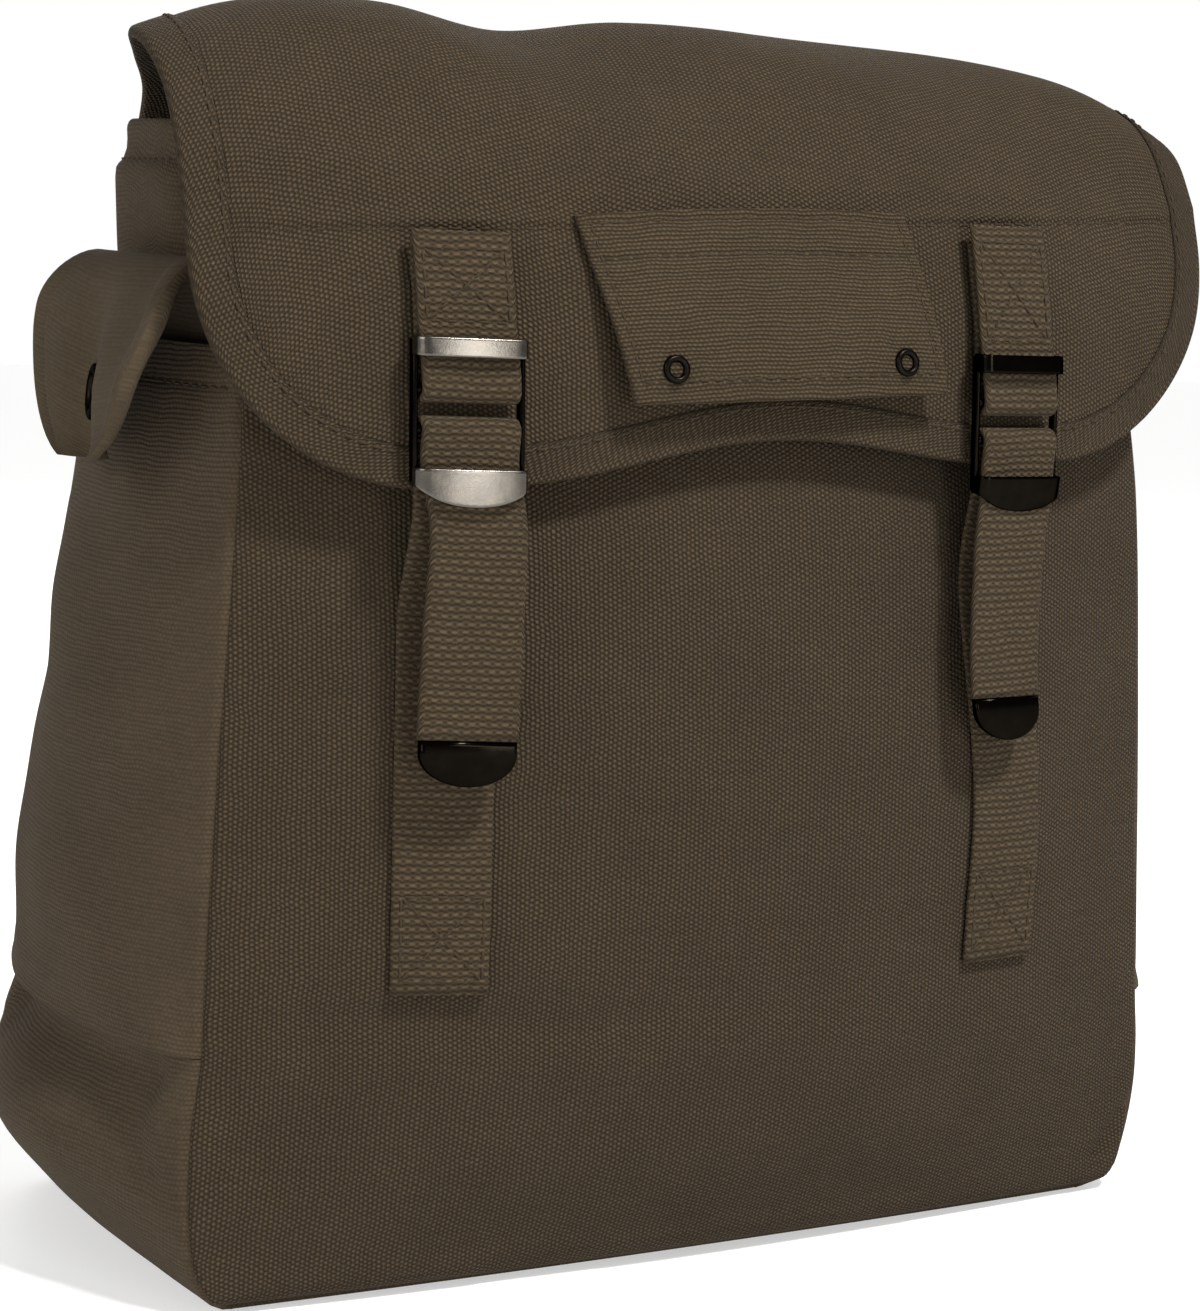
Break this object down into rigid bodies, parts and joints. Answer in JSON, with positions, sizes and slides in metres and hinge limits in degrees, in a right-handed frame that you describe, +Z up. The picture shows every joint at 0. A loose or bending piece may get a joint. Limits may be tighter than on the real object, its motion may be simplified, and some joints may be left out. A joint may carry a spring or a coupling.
{
  "type": "haversack",
  "caption": "Canvas haversack standing filled, its full front flap held down by buckled webbing straps, with folded side ears and a hanging eyelet tab.",
  "frame": {"origin": "middle of the bag's bounding box, on the surface that it stands on", "axes": "+Z up, -Y out of the front with the buckles, +X toward a viewer's right who faces the front"},
  "size_m": [0.3262, 0.1888, 0.3208],
  "materials": {
    "canvas": "plain-woven olive drab duck, dry",
    "canvas_side": "plain-woven olive drab duck, dry",
    "canvas_flap": "plain-woven olive drab duck, dry",
    "binding": "bias-woven cotton tape",
    "webbing": "coarse cotton webbing",
    "metal": "blackened, semi-gloss"
  },
  "bodies": {
    "root": {"base_panel": "canvas", "front_panel": "canvas", "back_panel": "canvas", "left_gusset": "canvas_side", "right_gusset": "canvas_side", "throat_collar": "canvas_side", "left_ear": "canvas_side", "left_ear_grommet": "metal", "right_ear": "canvas_side", "right_ear_grommet": "metal", "main_flap": "canvas_flap", "flap_binding": "binding", "eyelet_tab": "canvas_flap", "tab_eyelet_left": "metal", "tab_eyelet_right": "metal", "upper_strap_left": "webbing", "lower_strap_left": "webbing", "buckle_left": "metal", "strap_tip_left": "metal", "upper_strap_right": "webbing", "lower_strap_right": "webbing", "buckle_right": "metal", "strap_tip_right": "metal"}
  },
  "joints": []
}
